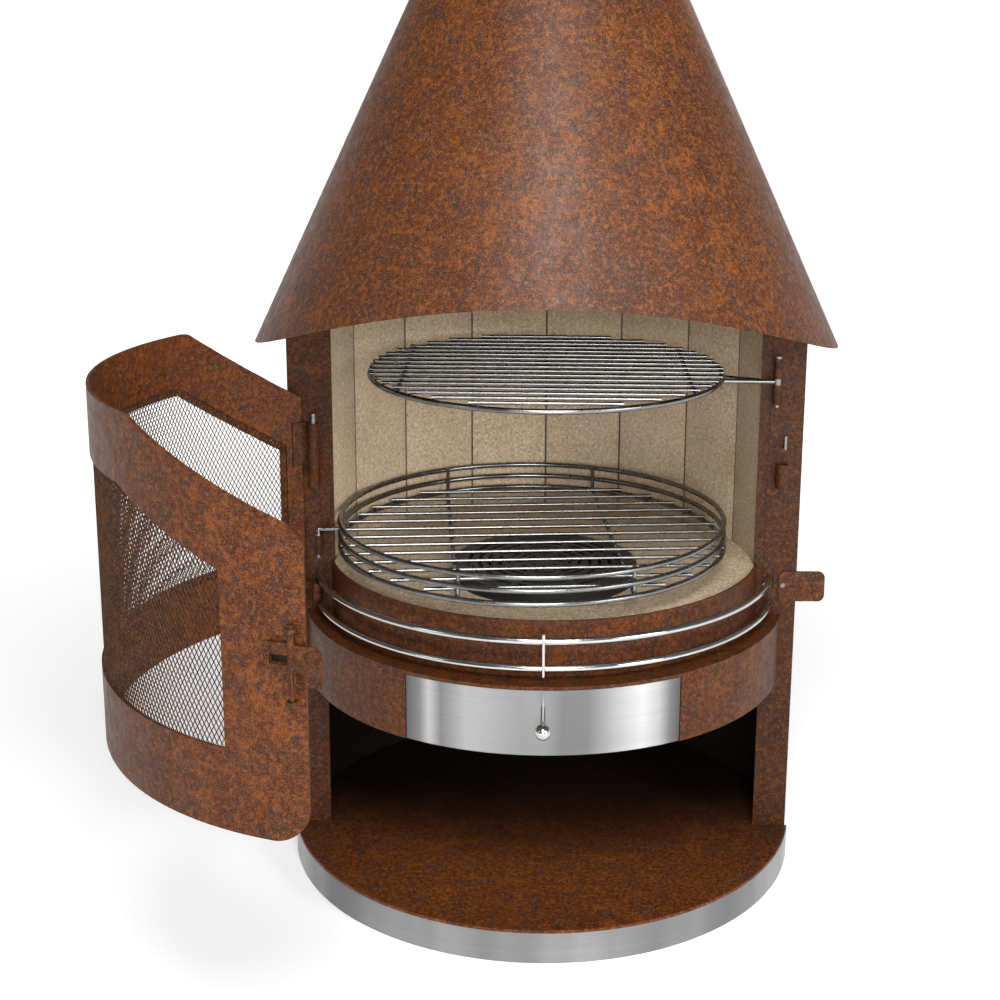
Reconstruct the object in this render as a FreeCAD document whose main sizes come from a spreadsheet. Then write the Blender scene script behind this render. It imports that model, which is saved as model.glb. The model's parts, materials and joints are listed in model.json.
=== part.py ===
"""Round garden fireplace with two swing-out grills, a curved mesh door and an ash drawer.

Millimetres, +Z up, origin on the ground at the centre of the round base.
The open side faces -Y.  The door stands open, as its rest position.
"""
import FreeCAD, Part
import math
import os
import Sketcher

doc = FreeCAD.newDocument("garden_fireplace")
V = FreeCAD.Vector

# ---------------------------------------------------------------- driving dimensions
DIMS = [
    # base and body
    ("base_radius", 350, "outer radius of the front of the base"),
    ("base_ring_height", 41, "height of the plinth ring"),
    ("sheet", 3, "thickness of the rolled sheets"),
    ("floor_plate", 4, "thickness of the flat plates"),
    ("back_y", -65, "plane behind the posts, centre of the back shell"),
    ("shell_radius", 340, "outer radius of the back shell"),
    ("shell_height", 800, "height of shell and posts"),
    ("post_inner", 295, "inner edge of a post from the middle"),
    ("post_width", 45, "width of a post"),
    ("post_thick", 5, "thickness of a post"),
    ("post_return", 13, "lip of a post that covers the end of the brick lining"),
    # hearth and apron
    ("hearth_z", 354, "underside of the hearth plate"),
    ("hearth_radius", 328, "front radius of the hearth plate"),
    ("apron_radius", 328, "outer radius of the apron"),
    ("apron_z", 268, "lower edge of the apron"),
    ("drawer_half_angle", 31, "half angle of the drawer front"),
    ("fire_ring_radius", 295, "outer radius of the fire ring"),
    ("fire_ring_height", 72, "height of the fire ring"),
    ("slab_height", 70, "thickness of the refractory slab"),
    ("slab_front_radius", 291.5, "front radius of the slab"),
    ("ash_y", -115, "centre of ash hole and fire grate"),
    ("ash_radius", 100, "radius of the ash hole"),
    ("lining_apothem", 282, "middle of the fire chamber to a brick face"),
    ("lining_thick", 30, "thickness of a lining brick"),
    ("lining_height", 430, "height of a lining brick"),
    ("grate_radius", 121, "radius of the fire grate"),
    ("grate_height", 18, "height of the fire grate"),
    # rail
    ("rail_radius", 314, "radius of the rail rods"),
    ("rail_rod", 4.4, "radius of a rail rod"),
    ("rail_upper_z", 411, "height of the upper rod"),
    ("rail_lower_z", 376, "height of the lower rod"),
    ("tab_z", 378, "lower edge of the side tab"),
    # drawer
    ("tray_half_width", 140, "half width of the ash tray"),
    ("tray_z", 274, "underside of the ash tray"),
    ("tray_height", 74, "height of the ash tray"),
    ("knob_z", 330, "height of the drawer knob"),
    ("knob_radius", 9.5, "radius of the drawer ball"),
    ("knob_reach", 67, "middle of the ball in front of the drawer"),
    # door
    ("door_radius", 347.5, "outer radius of the door sheet"),
    ("door_left", 68.4, "angle from the middle of the door to its hinge edge"),
    ("door_right", 70.3, "angle from the middle of the door to its free edge"),
    ("door_sheet", 3, "thickness of the door sheet"),
    ("door_centre_x", 7.1, "centre of the closed door"),
    ("door_centre_y", 20, "centre of the closed door"),
    ("door_bottom", 360, "lower edge of the door"),
    ("door_top", 761, "upper edge in the middle of the door"),
    ("door_open", 82.2, "angle at which the door stands open"),
    ("hinge_x", -304, "door hinge line"),
    ("hinge_y", -92, "door hinge line"),
    ("hinge_pin", 4, "radius of a hinge pin"),
    ("latch_z", 555, "middle of the latch"),
    # grills
    ("grill_y", -58, "middle of both grills"),
    ("upper_grill_radius", 231, "radius of the upper grill"),
    ("upper_grill_z", 689, "middle of the upper ring"),
    ("lower_grill_x", -17, "middle of the lower grill"),
    ("lower_grill_radius", 256.5, "radius of the lower grill"),
    ("lower_grill_z", 458, "middle of the lowest ring"),
    ("basket_step", 17, "distance between the basket rings"),
    ("wire_ring", 3.5, "radius of the ring wire"),
    ("wire_bar", 2.5, "radius of the bar wire"),
    ("pivot_pin", 3.2, "radius of a grill pivot pin"),
    ("pivot_x", 302, "grill pivots from the middle"),
    ("pivot_y", -77.5, "grill pivots"),
    # hood and flue
    ("hood_apex", 1530, "height at which the cone would end in a point"),
    ("hood_slope", 0.4733, "radius gained for each millimetre down"),
    ("hood_rim_z", 735, "lower rim of the hood"),
    ("hood_sheet", 2, "thickness of the hood sheet across"),
    ("arch_radius", 799, "radius of the arched front opening"),
    ("arch_centre_z", 30, "height of the arch centre"),
    ("flue_radius", 75, "outer radius of the flue pipe"),
    ("flue_length", 330, "length of the flue pipe"),
    ("cap_radius", 130, "radius of the rain cap"),
    ("cap_height", 55, "height of the rain cap"),
]
sheet = doc.addObject("Spreadsheet::Sheet", "Dims")
D = {}
for row, (name, value, note) in enumerate(DIMS, start=1):
    sheet.set("A%d" % row, name)
    sheet.set("B%d" % row, str(value))
    sheet.set("C%d" % row, note)
    sheet.setAlias("B%d" % row, name)
    D[name] = value
doc.recompute()

NODES = []


# ---------------------------------------------------------------- helpers
def expr(text):
    """Put the sheet's name in front of every dimension that text uses."""
    out = str(text)
    for name in sorted(D, key=len, reverse=True):
        out = _swap(out, name)
    return out


def _swap(text, name):
    result, i = "", 0
    while i < len(text):
        j = text.find(name, i)
        if j < 0:
            return result + text[i:]
        before = text[j - 1] if j else " "
        after = text[j + len(name)] if j + len(name) < len(text) else " "
        whole = not (before.isalnum() or before in "_.") and not (after.isalnum() or after == "_")
        result += text[i:j] + ("Dims." + name if whole else name)
        i = j + len(name)
    return result


def bind(obj, **props):
    for prop, text in props.items():
        obj.setExpression(prop.replace("__", "."), expr(text))
    return obj


def place(obj, x=0, y=0, z=0, axis=(0, 0, 1), angle=0):
    obj.Placement = FreeCAD.Placement(V(0, 0, 0), FreeCAD.Rotation(V(*axis), 1))
    bind(obj, Placement__Base__x=x, Placement__Base__y=y, Placement__Base__z=z)
    if isinstance(angle, str) or angle:
        obj.setExpression("Placement.Rotation.Angle", expr(angle))
    else:
        obj.Placement.Rotation = FreeCAD.Rotation(V(*axis), 0)
    return obj


def cyl(name, radius, height, x=0, y=0, z=0, axis=(0, 0, 1), angle=0, sweep=None):
    obj = doc.addObject("Part::Cylinder", name)
    bind(obj, Radius=radius, Height=height)
    if sweep is not None:
        bind(obj, Angle=sweep)
    return place(obj, x, y, z, axis, angle)


def box(name, dx, dy, dz, x=0, y=0, z=0, axis=(0, 0, 1), angle=0):
    obj = doc.addObject("Part::Box", name)
    bind(obj, Length=dx, Width=dy, Height=dz)
    return place(obj, x, y, z, axis, angle)


def ball(name, radius, x=0, y=0, z=0):
    obj = doc.addObject("Part::Sphere", name)
    bind(obj, Radius=radius)
    return place(obj, x, y, z)


def torus(name, ring, wire, x=0, y=0, z=0, start=0, sweep=None):
    obj = doc.addObject("Part::Torus", name)
    bind(obj, Radius1=ring, Radius2=wire)
    if sweep is not None:
        bind(obj, Angle3=sweep)
    return place(obj, x, y, z, (0, 0, 1), start)


def cut(name, base, tool):
    obj = doc.addObject("Part::Cut", name)
    obj.Base = base
    obj.Tool = tool
    return obj


def fuse(name, parts):
    obj = doc.addObject("Part::MultiFuse", name)
    obj.Shapes = parts
    return obj


def common(name, a, b):
    obj = doc.addObject("Part::Common", name)
    obj.Base = a
    obj.Tool = b
    return obj


def group(name, parts):
    obj = doc.addObject("Part::Compound", name)
    obj.Links = parts
    return obj


def node(obj, label):
    """Give a finished sub-part its name."""
    obj.Label = label
    NODES.append(obj)
    return obj


def band(name, outer, thick, height, z, start, sweep, x=0, y=0):
    """A strip of rolled sheet: start and sweep in degrees round the vertical axis."""
    a = cyl(name + "_out", outer, height, x, y, z, angle=start, sweep=sweep)
    b = cyl(name + "_in", "%s - %s" % (outer, thick), "%s + 2" % height, x, y, "%s - 1" % z,
            angle="%s - 2" % start, sweep="%s + 4" % sweep)
    return cut(name, a, b)


def front_segment(name, radius, thick, z, plane="back_y - post_thick"):
    """The part of a disc that lies in front of the posts."""
    disc = cyl(name + "_disc", radius, thick, 0, 0, z)
    room = box(name + "_room", "2 * %s" % radius, "%s + %s" % (radius, plane), "%s + 2" % thick,
               "-(%s)" % radius, "-(%s)" % radius, "%s - 1" % z)
    return common(name, disc, room)


def plan_plate(name, front, back, thick, z):
    """A flat plate: round in front of the posts, half round behind them."""
    seg = front_segment(name + "_front", front, thick, z)
    half = cyl(name + "_back", back, thick, 0, "back_y", z, sweep="180")
    link = box(name + "_link", "2 * post_inner", "post_thick + 4", thick,
               "-post_inner", "back_y - post_thick - 2", z)
    return fuse(name, [seg, half, link])


def tube(name, outer, bore, height, x, y, z):
    return cut(name, cyl(name + "_out", outer, height, x, y, z),
               cyl(name + "_bore", bore, "%s + 2" % height, x, y, "%s - 1" % z))


def rod_between(name, radius, a, b):
    """A round rod from point a to point b, given as numbers."""
    a, b = V(*a), V(*b)
    obj = doc.addObject("Part::Cylinder", name)
    bind(obj, Radius=radius)
    obj.Height = (b - a).Length
    obj.Placement = FreeCAD.Placement(a, FreeCAD.Rotation(V(0, 0, 1), b - a))
    return obj


# ---------------------------------------------------------------- base and body
def front_band(name, outer, thick, height, z):
    """A strip of rolled sheet that ends against the two posts' front faces."""
    plate = front_segment(name, outer, height, z)
    hollow = cyl(name + "_in", "%s - %s" % (outer, thick), "%s + 2" % height, 0, 0, "%s - 1" % z)
    return cut(name + "_band", plate, hollow)


def build_base():
    ring = front_band("base_ring_b", "base_radius", "sheet", "base_ring_height", "0")
    node(ring, "base_ring")
    plate = plan_plate("base_plate_b", "base_radius", "shell_radius - sheet", "floor_plate", "base_ring_height")
    node(plate, "base_plate")
    beam = box("beam_out", "648", "50", "base_ring_height", "-324", "-25", "0")
    bore = box("beam_in", "660", "44", "base_ring_height - 6", "-330", "-22", "3")
    node(cut("beam_b", beam, bore), "plinth_beam")
    node(band("shell_b", "shell_radius", "sheet", "shell_height", "0", "0", "180", y="back_y"), "back_shell")
    for side, label in ((-1, "left_post"), (1, "right_post")):
        x = "post_inner" if side > 0 else "-(post_inner + post_width)"
        face = box(label + "_b", "post_width", "post_thick", "shell_height", x, "back_y - post_thick", "0")
        x = "post_inner - post_return" if side > 0 else "-post_inner"
        lip = box(label + "_lip", "post_return", "4", "shell_height - hearth_z - floor_plate", x,
                  "back_y - 4", "hearth_z + floor_plate")
        node(fuse(label + "_f", [face, lip]), label)


# ---------------------------------------------------------------- hearth, apron, fire chamber
def build_hearth():
    plate = plan_plate("hearth_b", "hearth_radius", "shell_radius - sheet", "floor_plate", "hearth_z")
    hole = cyl("hearth_hole", "ash_radius + 4", "floor_plate + 4", 0, "ash_y", "hearth_z - 2")
    node(cut("hearth_plate_b", plate, hole), "hearth_plate")
    top = "hearth_z + floor_plate"
    ring = front_band("fire_ring_b", "fire_ring_radius", "sheet", "fire_ring_height", top)
    node(ring, "fire_ring")
    seg = front_segment("slab_front", "slab_front_radius", "slab_height", top)
    half = cyl("slab_back", "lining_apothem - 0.5", "slab_height", 0, "back_y", top, sweep="180")
    link = box("slab_link", "2 * (lining_apothem - 0.5)", "post_thick + 4", "slab_height",
               "-(lining_apothem - 0.5)", "back_y - post_thick - 2", top)
    body = fuse("slab_b", [seg, half, link])
    hole = cyl("slab_hole", "ash_radius", "slab_height + 4", 0, "ash_y", "hearth_z + floor_plate - 2")
    node(cut("slab_c", body, hole), "hearth_slab")


def build_apron():
    """Two curved pieces; the drawer front fills the space between them."""
    height = "hearth_z - apron_z"
    whole = front_band("apron_b", "apron_radius", "sheet", height, "apron_z")
    gap = "(drawer_half_angle + 0.3)"
    for side, start in ((-1, "90"), (1, "270 + %s" % gap)):
        sector = cyl("apron_sector%d" % side, "apron_radius + 10", "hearth_z", 0, 0, 0, angle=start,
                     sweep="180 - %s" % gap)
        node(common("apron_c%d" % side, whole, sector), "apron_left" if side < 0 else "apron_right")


def build_lining():
    """Eight flat bricks round the back of the fire chamber."""
    step = 22.5
    parts = []
    half = "lining_apothem * tan(%g) - 0.5" % (step / 2)
    for i in range(8):
        turn = step * (i + 0.5) - 90
        brick = box("brick%d" % i, "2 * (%s)" % half, "lining_thick", "lining_height")
        rad = math.radians(turn)
        # the brick's near left corner, turned about the middle of the chamber
        x = "-(%s) * cos(%g) - lining_apothem * sin(%g)" % (half, turn, turn)
        y = "-(%s) * sin(%g) + lining_apothem * cos(%g) + back_y + 0.5" % (half, turn, turn)
        place(brick, x, y, "hearth_z + floor_plate", (0, 0, 1), "%g" % turn if turn > 0 else "%g" % turn)
        parts.append(brick)
    node(group("lining_b", parts), "lining_bricks")


def build_fire_grate():
    """A round cast grate: raised rim, rings of slots, a spoke cross left standing."""
    z = "hearth_z + floor_plate + slab_height"
    disc = cyl("grate_disc", "grate_radius", "grate_height", 0, "ash_y", z)
    hollow = cyl("grate_hollow", "grate_radius - 7", "grate_height - 8", 0, "ash_y", "%s - 0.01" % z)
    shell = cut("grate_shell", disc, hollow)
    slots = []
    for i in range(7):
        r = 18 + i * 13
        slots.append(cut("slot%d" % i, cyl("slot%d_o" % i, r + 5, "grate_height + 8", 0, "ash_y", "%s - 4" % z),
                         cyl("slot%d_i" % i, r, "grate_height + 10", 0, "ash_y", "%s - 5" % z)))
    rings = fuse("slot_rings", slots)
    spokes = []
    for i in range(4):
        bar = box("spoke%d" % i, "2 * grate_radius", "9", "grate_height + 12")
        turn = 22.5 + 45 * i
        place(bar, "-grate_radius * cos(%g) + 4.5 * sin(%g)" % (turn, turn),
              "ash_y - grate_radius * sin(%g) - 4.5 * cos(%g)" % (turn, turn), "%s - 6" % z, (0, 0, 1), "%g" % turn)
        spokes.append(bar)
    node(cut("grate_b", shell, cut("slot_cut", rings, fuse("spokes", spokes))), "fire_grate")


# ---------------------------------------------------------------- front rail
def build_rail():
    reach = "(acos(-(back_y - post_thick) / rail_radius) / 1 deg)"
    for label, z in (("rail_rod_upper", "rail_upper_z"), ("rail_rod_lower", "rail_lower_z")):
        rod = torus(label + "_b", "rail_radius", "rail_rod", 0, 0, z, "270 - %s" % reach, "2 * %s" % reach)
        plane = box(label + "_face", "2 * rail_radius + 20", "40", "20", "-rail_radius - 10",
                    "back_y - post_thick", "%s - 10" % z)
        node(cut(label + "_c", rod, plane), label)
    front = "-(rail_radius + rail_rod + 2)"
    pin = cyl("upright_b", "2", "rail_upper_z - rail_lower_z + 19", 0, front, "rail_lower_z - 8")
    stub = cyl("upright_stub", "1.6", "rail_radius + rail_rod + 2 - fire_ring_radius", 0,
               "-fire_ring_radius", "rail_upper_z + 7", (1, 0, 0), "90")
    node(fuse("upright_c", [pin, stub]), "rail_upright")
    screws = [cyl("tab_screw%d" % i, "3.2", "2.5", x, y, "tab_z + 23", (1, 0, 0), "90")
              for i, (x, y) in enumerate((("298", "back_y - post_thick"), ("321", "back_y - post_thick - 3")))]
    node(group("tab_screws_b", screws), "tab_screws")


# ---------------------------------------------------------------- ash drawer
def build_drawer():
    r = "apron_radius - sheet"
    block = box("tray_block", "2 * tray_half_width", "apron_radius - 20", "tray_height",
                "-tray_half_width", "-apron_radius", "tray_z")
    round_cut = cyl("tray_round", r, "tray_height + 2", 0, 0, "tray_z - 1")
    outer = common("tray_outer", block, round_cut)
    inner_block = box("tray_inner_block", "2 * tray_half_width - 4", "apron_radius - 24", "tray_height",
                      "-tray_half_width + 2", "-apron_radius + 2", "tray_z + 2")
    inner_round = cyl("tray_inner_round", "apron_radius - sheet - 2", "tray_height + 2", 0, 0, "tray_z - 1")
    node(cut("tray_b", outer, common("tray_inner", inner_block, inner_round)), "drawer_tray")
    node(band("drawer_front_b", "apron_radius", "sheet", "hearth_z - apron_z - 1.6", "apron_z + 1",
              "270 - drawer_half_angle", "2 * drawer_half_angle"), "drawer_front")
    rod = cyl("drawer_rod_b", "3", "knob_reach - 9", 0, "-apron_radius + 0.2", "knob_z", (1, 0, 0), "90")
    disc = cyl("drawer_face", "apron_radius", "20", 0, 0, "knob_z - 10")
    node(cut("drawer_rod_c", rod, disc), "drawer_rod")
    sphere = ball("drawer_ball_b", "knob_radius", 0, "-apron_radius - knob_reach", "knob_z")
    seat = cyl("drawer_ball_seat", "3", "10", 0, "-apron_radius - knob_reach + 19", "knob_z", (1, 0, 0), "90")
    node(cut("drawer_ball_c", sphere, seat), "drawer_ball")
    rails = []
    for side in (-1, 1):
        x = "tray_half_width + 1" if side > 0 else "-(tray_half_width + 3)"
        web = box("runner_web%d" % side, "2", "290", "hearth_z - tray_z + 2.5", x, "-282", "tray_z - 2.5")
        x = "tray_half_width - 14" if side > 0 else "-(tray_half_width + 3)"
        foot = box("runner_foot%d" % side, "17", "290", "2", x, "-282", "tray_z - 2.5")
        rails.append(fuse("runner%d" % side, [web, foot]))
    node(group("runners_b", rails), "drawer_runners")


# ---------------------------------------------------------------- door (drawn closed, then swung open)
LATCH_TURN = 68.3


def outline(body, name, points, rounds):
    """A closed polygon sketch in the front plane; rounds maps a corner's number to its radius."""
    sk = body.newObject("Sketcher::SketchObject", name)
    plane = [f for f in body.Origin.OriginFeatures if f.Role == "XZ_Plane"][0]
    sk.AttachmentSupport = [(plane, "")]
    sk.MapMode = "FlatFace"
    pts = []
    n = len(points)
    for i, p in enumerate(points):
        p = V(p[0], p[1], 0)
        if i in rounds:
            a = (V(*points[i - 1], 0) - p).normalize()
            b = (V(*points[(i + 1) % n], 0) - p).normalize()
            half = a.getAngle(b) / 2
            back = rounds[i] / math.tan(half)
            mid = p + (a + b).normalize() * (rounds[i] / math.sin(half))
            via = mid + (p - mid).normalize() * rounds[i]
            pts.append((p + a * back, via, p + b * back))
        else:
            pts.append((p, None, p))
    for i in range(n):
        start, end = pts[i][2], pts[(i + 1) % n][0]
        sk.addGeometry(Part.LineSegment(start, end), False)
        if pts[(i + 1) % n][1] is not None:
            q = pts[(i + 1) % n]
            sk.addGeometry(Part.Arc(q[0], q[1], q[2]), False)
    return sk


def front_prism(name, points, rounds):
    """A PartDesign pad of a front-view outline, deep enough to pass through the door sheet."""
    body = doc.addObject("PartDesign::Body", name)
    sk = outline(body, name + "_sketch", points, rounds)
    pad = body.newObject("PartDesign::Pad", name + "_pad")
    pad.Profile = sk
    pad.Midplane = False
    bind(pad, Length="door_radius + 60")
    doc.recompute()
    return body


def swing(obj):
    """Turn a finished door part about the hinge line into its open position."""
    obj.Placement = FreeCAD.Placement(V(0, 0, 0), FreeCAD.Rotation(V(0, 0, 1), -1))
    bind(obj, Placement__Rotation__Angle="-door_open",
         Placement__Base__x="hinge_x - hinge_x * cos(door_open) - hinge_y * sin(door_open)",
         Placement__Base__y="hinge_y + hinge_x * sin(door_open) - hinge_y * cos(door_open)")
    return obj


def rolled(points):
    """Front-view outline of a shape drawn on the rolled door sheet as (angle, height) corners."""
    out = []
    for i, (a0, z0) in enumerate(points):
        a1, z1 = points[(i + 1) % len(points)]
        steps = max(1, round(abs(a1 - a0) / 6)) if z0 != z1 else 1
        for k in range(steps):
            a, z = a0 + (a1 - a0) * k / steps, z0 + (z1 - z0) * k / steps
            out.append((D["door_centre_x"] + D["door_radius"] * math.sin(math.radians(a)), z))
    return out


def corner_index(points, corner):
    """Number that a corner of the drawn shape has in its front-view outline."""
    x = D["door_centre_x"] + D["door_radius"] * math.sin(math.radians(corner[0]))
    return min(range(len(points)), key=lambda i: abs(points[i][0] - x) + abs(points[i][1] - corner[1]))


def corner_cutter(name, radius, fall, z, up):
    """What is taken off a corner at the door's free edge: fall is the slope of the edge that meets it there."""
    turn = D["door_right"] - math.degrees(radius / D["door_radius"])
    reach = radius + 12
    low = z if up else "%s - %g" % (z, reach)
    slab = on_door(name + "_slab", reach, 40, reach, 0, -20, low, turn)
    if fall:
        tilted = on_door(name + "_tilt", reach + 20, 44, reach, 0, -22, z, turn)
        tilted.Placement.Rotation = FreeCAD.Rotation(V(0, 0, 1), turn) * FreeCAD.Rotation(V(0, 1, 0), fall)
        slab = common(name + "_corner", slab, tilted)
    disc = doc.addObject("Part::Cylinder", name + "_disc")
    bind(disc, Radius=radius, Height=60)
    x, y = door_spot(0, -30, turn)
    lying = FreeCAD.Rotation(V(1, 0, 0), -90)
    disc.Placement = FreeCAD.Placement(V(0, 0, 0), FreeCAD.Rotation(V(0, 0, 1), turn) * lying)
    bind(disc, Placement__Base__x=x, Placement__Base__y=y, Placement__Base__z=z)
    return cut(name, slab, disc)


def build_door():
    low, high = D["door_bottom"], D["door_top"]
    peaks = [(34, high), (-40.5, high)]
    fall = (high - 674) / (70.3 - 34)
    rise = (high - 652) / (68.4 - 40.5)
    corners = [(-76, low), (76, low), (76, high - fall * 42)] + peaks + [(-76, high - rise * 35.5)]
    outer = rolled(corners)
    rounds = {corner_index(outer, peak): 14 for peak in peaks}
    prism = front_prism("door_outline", outer, rounds)
    window = [(-63.3, low + 87), (55.3, low + 87), (55.3, high - 132), (30, high - 75), (-37.5, high - 74),
              (-63.3, high - 172)]
    opening = rolled(window)
    hole = front_prism("door_window", opening, {corner_index(opening, c): 3 for c in window})
    start, sweep = "270 - door_left", "door_left + door_right"
    skin = cut("door_skin", cyl("door_skin_o", "door_radius", "door_top - door_bottom", "door_centre_x",
                                "door_centre_y", "door_bottom", angle=start, sweep=sweep),
               cyl("door_skin_i", "door_radius - door_sheet", "door_top", "door_centre_x", "door_centre_y",
                   "door_bottom - 1"))
    slope = math.degrees(math.atan(fall / math.radians(D["door_radius"])))
    top_round, low_round = 24, 40
    run = top_round / D["door_radius"]
    top_z = 674 + fall * math.degrees(run) - top_round / math.cos(math.radians(slope))
    cutters = [corner_cutter("free_top", top_round, slope, top_z, True),
               corner_cutter("free_low", low_round, 0, "door_bottom + %g" % low_round, False)]
    slot = on_door("panel_slot", 17, 12, 8, -23, -4, "latch_z - 8.5", LATCH_TURN)
    panel = cut("door_panel_b", cut("door_blank", common("door_cut", skin, prism), hole),
                fuse("door_cutters", cutters + [slot]))
    node(swing(panel), "door_panel")
    m, d = 8, 1.32
    veil = [(-64.2, low + 87 - m), (55.3 + d, low + 87 - m), (55.3 + d, high - 132 + m * 0.7),
            (30 + d * 0.3, high - 75 + m), (-37.5 - d * 0.3, high - 74 + m), (-64.2, high - 172 + m * 0.7)]
    shape = front_prism("mesh_outline", rolled(veil), {})
    mesh = band("mesh_skin", "door_radius - door_sheet", "1.6", "door_top - door_bottom", "door_bottom",
                start, sweep, x="door_centre_x", y="door_centre_y")
    node(swing(common("door_mesh_b", mesh, shape)), "door_mesh")
    build_hinges()
    build_latch()


def build_hinges():
    """Two lift-off hinges: tube and pin on the left post, knuckle with its leaf on the door."""
    lugs, pins, knuckles = [], [], []
    hinges = (("381", "11", "12.2", "24"), ("538", "27", "58", "99"))
    for i, (z, tube_long, knuckle_long, pin_long) in enumerate(hinges):
        nm = "lug%d" % i
        arm = box(nm + "_arm", "10", "-hinge_y + back_y - post_thick", tube_long, "hinge_x - 5", "hinge_y", z)
        eye = cyl(nm + "_eye", "7", tube_long, "hinge_x", "hinge_y", z)
        bore = cyl(nm + "_bore", "hinge_pin", "%s + 4" % tube_long, "hinge_x", "hinge_y", "%s - 2" % z)
        lugs.append(cut(nm, fuse(nm + "_f", [arm, eye]), bore))
        above = "%s + %s + 0.4" % (z, tube_long)
        pins.append(cyl("hinge_pin%d" % i, "hinge_pin", pin_long, "hinge_x", "hinge_y", z))
        knuckle = cyl("knuckle%d" % i, "7", knuckle_long, "hinge_x", "hinge_y", above)
        turn = -D["door_left"]
        pad = on_door("leaf_pad%d" % i, 27, 3, knuckle_long, -13.5, 3.3, above, turn)
        web = on_door("leaf_web%d" % i, 4, 13, knuckle_long, -13.5, 4, above, turn)
        bore = cyl("knuckle_bore%d" % i, "hinge_pin + 0.05", "%s + 4" % knuckle_long, "hinge_x", "hinge_y",
                   "%s - 2" % above)
        knuckles.append(cut("knuckle_c%d" % i, fuse("knuckle_f%d" % i, [knuckle, pad, web]), bore))
    node(group("hinge_lugs_b", lugs), "hinge_lugs")
    node(group("hinge_pins_b", pins), "hinge_pins")
    node(swing(group("door_knuckles_b", knuckles)), "door_knuckles")


def door_spot(along, inward, turn):
    """Position on the closed door: turn degrees from the middle, along the sheet, inward from its outer face."""
    x = "door_centre_x + door_radius * sin(%g) + (%s) * cos(%g) - (%s) * sin(%g)" % (
        turn, along, turn, inward, turn)
    y = "door_centre_y - door_radius * cos(%g) + (%s) * sin(%g) + (%s) * cos(%g)" % (
        turn, along, turn, inward, turn)
    return x, y


def on_door(name, dx, dy, dz, along, inward, z, turn):
    x, y = door_spot(along, inward, turn)
    return box(name, dx, dy, dz, x, y, z, (0, 0, 1), "%g" % turn)


def door_pin(name, radius, height, along, inward, z, turn):
    x, y = door_spot(along, inward, turn)
    return cyl(name, radius, height, x, y, z)


def build_latch():
    """Slot plate and guide eyes on the door; lifting bar with a hook tab that reaches past the free edge."""
    at = LATCH_TURN
    plate = on_door("slot_plate", 26, 3, 27, -28.5, -3, "latch_z - 14", at)
    slot = on_door("slot_hole", 19, 9, 10, -24, -6, "latch_z - 9.5", at)
    node(swing(cut("latch_bracket_b", plate, slot)), "latch_bracket")
    eyes = []
    for i, (z, bore_r) in enumerate((("latch_z - 48", 2.35), ("latch_z + 25", 3.35))):
        eye = door_pin("eye%d" % i, 5.4, 4.5, 0, -6.5, z, at)
        foot = on_door("eye_foot%d" % i, 7, 6.4, 4.5, -3.5, -6.5, z, at)
        bore = door_pin("eye_bore%d" % i, bore_r, 9, 0, -6.5, "%s - 2" % z, at)
        eyes.append(cut("eye_c%d" % i, fuse("eye_f%d" % i, [eye, foot]), bore))
    node(swing(group("latch_guides_b", eyes)), "latch_guides")
    thick = door_pin("latch_bar_top", 3.3, 48, 0, -6.5, "latch_z - 15", at)
    thin = door_pin("latch_bar_low", 2.3, 42, 0, -6.5, "latch_z - 54", at)
    node(swing(fuse("latch_bar_b", [thick, thin])), "latch_bar")
    tab = on_door("hook_plate", 31, 3, 40, 0, -8, "latch_z - 27", at)
    hollow = door_pin("hook_hollow", 3.3, 48, 0, -6.5, "latch_z - 30", at)
    notch = on_door("hook_notch", 9, 9, 11, 5, -11, "latch_z - 24.5", at)
    corner = on_door("hook_corner", 20, 9, 20, 20, -11, "latch_z + 2", at)
    x, y = door_spot(20, -11, at)
    disc = doc.addObject("Part::Cylinder", "hook_disc")
    bind(disc, Radius=11, Height=9)
    lying = FreeCAD.Rotation(V(1, 0, 0), -90)
    disc.Placement = FreeCAD.Placement(V(0, 0, 0), FreeCAD.Rotation(V(0, 0, 1), at) * lying)
    bind(disc, Placement__Base__x=x, Placement__Base__y=y, Placement__Base__z="latch_z + 2")
    plain = cut("hook_a", cut("hook_b1", tab, hollow), notch)
    node(swing(cut("latch_hook_b", plain, cut("hook_round", corner, disc))), "latch_hook")


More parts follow.
